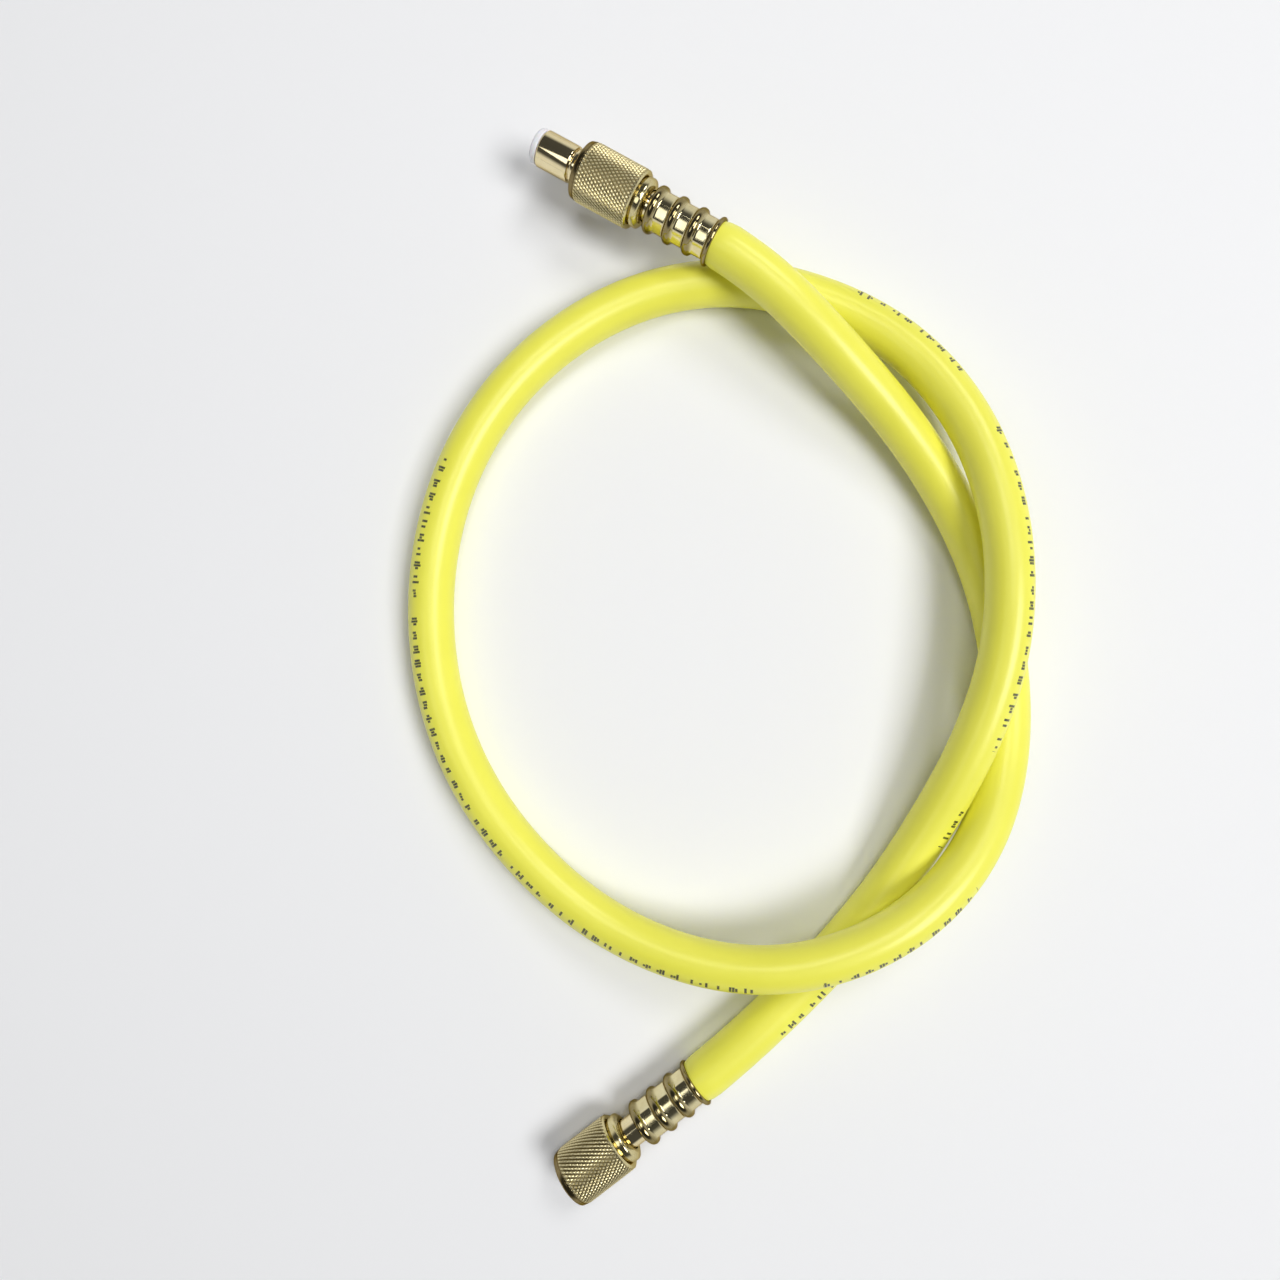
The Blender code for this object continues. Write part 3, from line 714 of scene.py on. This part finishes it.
def stem(end, collar, head_length, pocket):
    """A stem from its barbed tail to its head, with a pocket behind the seal of this depth."""
    tail = -STEM_TAIL
    lock_front = -(FERRULE_FRONT_WALL + FIT)
    bore, root, barb = STEM_BORE / 2, STEM_ROOT_OD / 2, STEM_BARB_OD / 2
    groove, neck, head = STEM_GROOVE_OD / 2, STEM_NECK_OD / 2, STEM_HEAD_OD / 2
    lock, edge, hole = STEM_LOCK_OD / 2, STEM_COLLAR_OD / 2, (SEAL_SPIGOT_OD + 2 * FIT) / 2
    crest, foot = STEM_BARB_SHAPE
    corners = [(tail, bore, 0.0), (tail, root - STEM_FILLET, BREAK)]
    for k in range(STEM_BARBS):
        start = tail + STEM_BARB_FIRST + k * STEM_BARB_PITCH
        corners += [(start, root, STEM_FILLET), (start + STEM_BARB_PITCH * crest, barb, BREAK),
                    (start + STEM_BARB_PITCH * foot, root, BREAK)]
    lock_rear = lock_front - STEM_LOCK_WIDTH
    front = collar + STEM_COLLAR_WIDTH
    undercut, face = front - STEM_UNDERCUT, front + head_length
    bottom = face - SEAL_SPIGOT_LENGTH - pocket
    corners += [(lock_rear, root, BREAK), (lock_rear, lock, BREAK), (lock_front, lock, BREAK),
                (lock_front, groove, 0.0), (FIT, groove, 0.0), (FIT, neck, STEM_FILLET),
                (collar, neck, BREAK), (collar, edge, STEM_COLLAR_ROUND),
                (undercut, edge, STEM_COLLAR_ROUND), (undercut, neck + BREAK, BREAK),
                (front, neck + BREAK, BREAK), (front, head, STEM_HEAD_ROUND),
                (face, head, STEM_HEAD_ROUND), (face, hole, BREAK), (bottom, hole, 0.0),
                (bottom, bore, 0.0)]
    piece = lathe("turned_stem_" + end, rounded(corners), TURNED_SIDES)
    return stand_for(piece, end, end + "_stem", "hose_assembly")


def seal(end, face):
    """A seal that stands proud of the stem's face, on a spigot that reaches into the stem."""
    hole, spigot, outer = SEAL_HOLE / 2, SEAL_SPIGOT_OD / 2, SEAL_OD / 2
    back = FIT - SEAL_SPIGOT_LENGTH
    corners = [(back, hole, 0.0), (back, spigot, SEAL_SPIGOT_ROUND), (FIT, spigot, 0.0),
               (FIT, outer, SEAL_EDGE_ROUND), (SEAL_PROUD, outer, SEAL_FACE_ROUND),
               (SEAL_PROUD, hole, SEAL_EDGE_ROUND)]
    piece = lathe("seal_ring_" + end, rounded(corners, SEAL_ROUND_STEPS), TURNED_SIDES)
    return stand_for(piece, end, end + "_seal", "hose_assembly", face)


# Nuts

def nut_rows():
    """The nut's section from its rear hole round the outside to its mouth and back down its bore."""
    hub, barrel = NUT_HUB_OD / 2, NUT_OD / 2
    hole, bore = STEM_NECK_OD / 2 + NUT_CLEARANCE, NUT_BORE / 2
    start = NUT_HUB_LENGTH + NUT_GROOVE_WIDTH
    bevel = NUT_LENGTH - NUT_RIM
    taper, drop = NUT_HUB_CONE
    foot_round, corner_round = NUT_HUB_ROUND
    chamfer, chamfer_depth = NUT_SHOULDER
    mouth_chamfer = (NUT_MOUTH_BORE - NUT_BORE) / 2
    outside = rounded([
        (0.0, hole, 2 * BREAK), (0.0, hub - drop, corner_round),
        (NUT_HUB_LENGTH * taper, hub, foot_round), (NUT_HUB_LENGTH, hub, corner_round),
        (NUT_HUB_LENGTH, NUT_GROOVE_OD / 2, 0.0), (start, NUT_GROOVE_OD / 2, 0.0),
        (start, barrel - chamfer_depth, BREAK), (start + chamfer, barrel - BREAK, 0.0)])[1:]
    lead = barrel / KNURL_COUNT * math.tau / math.tan(KNURL_ANGLE)
    step = lead / KNURL_SAMPLES
    count = int((bevel - start - KNURL_START - KNURL_STOP) / step)
    knurl = [(start + KNURL_START + k * step, barrel) for k in range(count + 1)]
    front = rounded([
        (bevel, barrel - NUT_RIM_SETBACK, BREAK),
        (NUT_LENGTH - NUT_RIM_TAPER_END, NUT_RIM_OD / 2, NUT_RIM_ROUND),
        (NUT_LENGTH, NUT_MOUTH_OD / 2, NUT_FACE_ROUND), (NUT_LENGTH, NUT_MOUTH_BORE / 2, BREAK),
        (NUT_LENGTH - mouth_chamfer, bore, 0.0)])
    thread_start = NUT_LENGTH - mouth_chamfer - BREAK
    turn = THREAD_PITCH / THREAD_SAMPLES
    thread = [(thread_start - k * turn, bore) for k in range(int(THREAD_LENGTH / turn) + 1)]
    rear = [(NUT_REAR_WALL, bore), (NUT_REAR_WALL, hole)]
    return outside, knurl, front, thread, rear, lead


def groove(turns):
    """How deep each place lies in a set of grooves, from 0 on the worn tops to 1 at the bottom."""
    return 1 - np.minimum((1 - np.abs(turns % 1.0 - 0.5) * 2) * KNURL_TOPS, 1.0)


def nut(end, rear_face, body, finish, turned):
    """A nut with its knurl, which is uneven from the side at angle turned to the other, and its thread."""
    outside, knurl, front, thread, rear, lead = nut_rows()
    section = outside + knurl + front + thread + rear
    first = len(outside)
    last = first + len(knurl) - 1
    thread_first = last + 1 + len(front)
    thread_last = thread_first + len(thread) - 1
    sides = KNURL_COUNT * KNURL_SAMPLES
    crest = np.ones((len(section), sides))

    def form(along, angle, radius):
        row = np.arange(len(section))[:, None]
        turn = angle * KNURL_COUNT / math.tau
        rise = (along - along[first, 0]) / lead
        uneven = KNURL_UNEVEN * np.cos(angle - turned)
        cut = np.maximum((1 + uneven) * groove(turn + rise), (1 - uneven) * groove(turn - rise))
        ends = np.clip(np.minimum(row - first, last - row) / KNURL_FADE, 0.0, 1.0)
        in_knurl = (row >= first) & (row <= last)
        crest[:] = np.where(in_knurl, 1 - np.minimum(cut, 1.0), crest)
        deep = KNURL_DEPTH * (cut * ends + KNURL_END_DEPTH * (1 - ends))
        radius = np.where(in_knurl, radius - deep, radius)
        turns = along / THREAD_PITCH - angle / math.tau
        slope, cut_flat = THREAD_FLANK
        flank = np.clip(np.abs(turns % 1.0 - 0.5) * slope + cut_flat, 0.0, 1.0)
        fade = np.clip(np.minimum(row - thread_first, thread_last - row) / THREAD_FADE, 0.0, 1.0)
        in_thread = (row >= thread_first) & (row <= thread_last)
        return np.where(in_thread, radius + THREAD_DEPTH * flank * fade, radius)

    piece = lathe("diamond_knurled_nut_" + end, section, sides, form, KNURL_SHARP)
    store(piece, "crest", crest)
    parts = list(finish)
    for part in parts:
        piece.data.materials.append(finish[part])
    zone = np.full((len(section), sides), parts.index("smooth"), np.int32)
    zone[first:last, :] = parts.index("knurl")
    zone[last:last + len(front), :] = parts.index("rim")
    piece.data.polygons.foreach_set("material_index", zone.reshape(-1))
    return stand_for(piece, end, end + "_nut", body, rear_face)


# Stage

def camera():
    """The photograph's camera, above the object and looking straight down."""
    data = bpy.data.cameras.new("photo_camera")
    data.sensor_width = SENSOR
    data.lens = FOCAL_PIXELS / PHOTO_PIXELS * SENSOR
    data.clip_start, data.clip_end = 0.01, 20.0
    view = bpy.data.objects.new("photo_camera", data)
    view.location = (*CAMERA_POINT, CAMERA_HEIGHT)
    view.rotation_euler = (0.0, 0.0, CAMERA_TURN)
    bpy.context.scene.collection.objects.link(view)
    bpy.context.scene.camera = view


def photo_point(right, up, height):
    """A place given by the photograph's right and up, from the point under the camera."""
    turned = Matrix.Rotation(CAMERA_TURN, 3, "Z") @ Vector((right, up, 0.0))
    return Vector((CAMERA_POINT[0] + turned.x, CAMERA_POINT[1] + turned.y, height))


def area_lamp(name, azimuth, elevation, distance, size, share):
    """A soft lamp seen from the middle at these angles, azimuth from the photograph's right, which
    gives the floor there this share of the light that shows white as white."""
    azimuth, elevation = math.radians(azimuth), math.radians(elevation)
    data = bpy.data.lights.new(name, "AREA")
    data.shape = "SQUARE"
    data.size = size
    data.energy = share * (math.pi * distance) ** 2 / math.sin(elevation)
    lamp = bpy.data.objects.new(name, data)
    level = distance * math.cos(elevation)
    lamp.location = photo_point(level * math.cos(azimuth), level * math.sin(azimuth),
                                distance * math.sin(elevation))
    lamp.rotation_euler = (photo_point(0.0, 0.0, 0.0) - lamp.location).to_track_quat("-Z", "Y").to_euler()
    bpy.context.scene.collection.objects.link(lamp)


def lighting():
    """The lamps, and a pale room that the camera and the brass see brighter than it lights things."""
    for lamp in LAMPS:
        area_lamp(*lamp)
    world = bpy.data.worlds.new("studio")
    world.use_nodes = True
    tree = world.node_tree
    back = tree.nodes["Background"]
    where = tree.nodes.new("ShaderNodeTexCoord")
    parts = tree.nodes.new("ShaderNodeSeparateXYZ")
    ramp = tree.nodes.new("ShaderNodeValToRGB")
    tree.links.new(where.outputs["Generated"], parts.inputs[0])
    tree.links.new(parts.outputs["Z"], ramp.inputs["Fac"])
    while len(ramp.color_ramp.elements) < len(SKY):
        ramp.color_ramp.elements.new(0.5)
    for element, (position, level) in zip(ramp.color_ramp.elements, SKY):
        element.position = position
        element.color = (level, level, level, 1.0)
    strength = tree.nodes.new("ShaderNodeMapRange")
    strength.inputs["To Min"].default_value = SKY_LIGHT
    tree.links.new(seen_rays(tree), strength.inputs["Value"])
    tree.links.new(strength.outputs[0], back.inputs["Strength"])
    tree.links.new(ramp.outputs["Color"], back.inputs["Color"])
    bpy.context.scene.world = world
    bpy.context.scene.view_settings.view_transform = "Standard"


def floor():
    half = FLOOR_HALF
    verts = [(-half, -half, 0.0), (half, -half, 0.0), (half, half, 0.0), (-half, half, 0.0)]
    ground = mesh_object("studio_floor", verts, [(0, 1, 2, 3)])
    ground.data.materials.append(floor_material())


camera()
rubber = hose_material()
polished = polished_material("polished_brass_fine", FERRULE_BRASS, 0.07, 0.15, FERRULE_RING_PAINTED_SHADE)
stem_brass = polished_material("stem_brass_fine", STEM_BRASS, 0.06, 0.12)
nut_finish = {"knurl": knurl_material(),
              "smooth": polished_material("nut_brass_smooth", NUT_BRASS, 0.10, 0.20),
              # the rim's dark colour is painted shade
              "rim": polished_material("nut_rim_painted_shade", NUT_RIM_PAINTED_SHADE, 0.10, 0.20)}
white = seal_material()
steel = polished_material("depressor_metal", DEPRESSOR_METAL, 0.18, 0.28)

tube, centre_line = hose()
tube.data.materials.append(rubber)
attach(tube, "hose_assembly")
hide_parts("hose")

crimps = []
for which in ("service", "manifold"):
    ferrule(which).data.materials.append(polished)
    crimps.append(crimped_hose(which))
    crimps[-1].data.materials.append(rubber)
manifold_collar = MANIFOLD_NUT_REAR + NUT_REAR_WALL + FIT
service_face = SERVICE_COLLAR + STEM_COLLAR_WIDTH + SERVICE_HEAD_LENGTH
manifold_face = manifold_collar + STEM_COLLAR_WIDTH + MANIFOLD_HEAD_LENGTH
depressor_room = DEPRESSOR_THICK + 2 * FIT
stem("service", SERVICE_COLLAR, SERVICE_HEAD_LENGTH, depressor_room).data.materials.append(stem_brass)
stem("manifold", manifold_collar, MANIFOLD_HEAD_LENGTH, FIT).data.materials.append(stem_brass)
seal("service", service_face).data.materials.append(white)
seal("manifold", manifold_face).data.materials.append(white)
nut("service", SERVICE_NUT_REAR, "service_nut_body", nut_finish, math.pi)
nut("manifold", MANIFOLD_NUT_REAR, "manifold_nut_body", nut_finish, 0.0)
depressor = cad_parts["core_depressor"]
depressor.data.materials.clear()
depressor.data.materials.append(steel)

floor()
lighting()
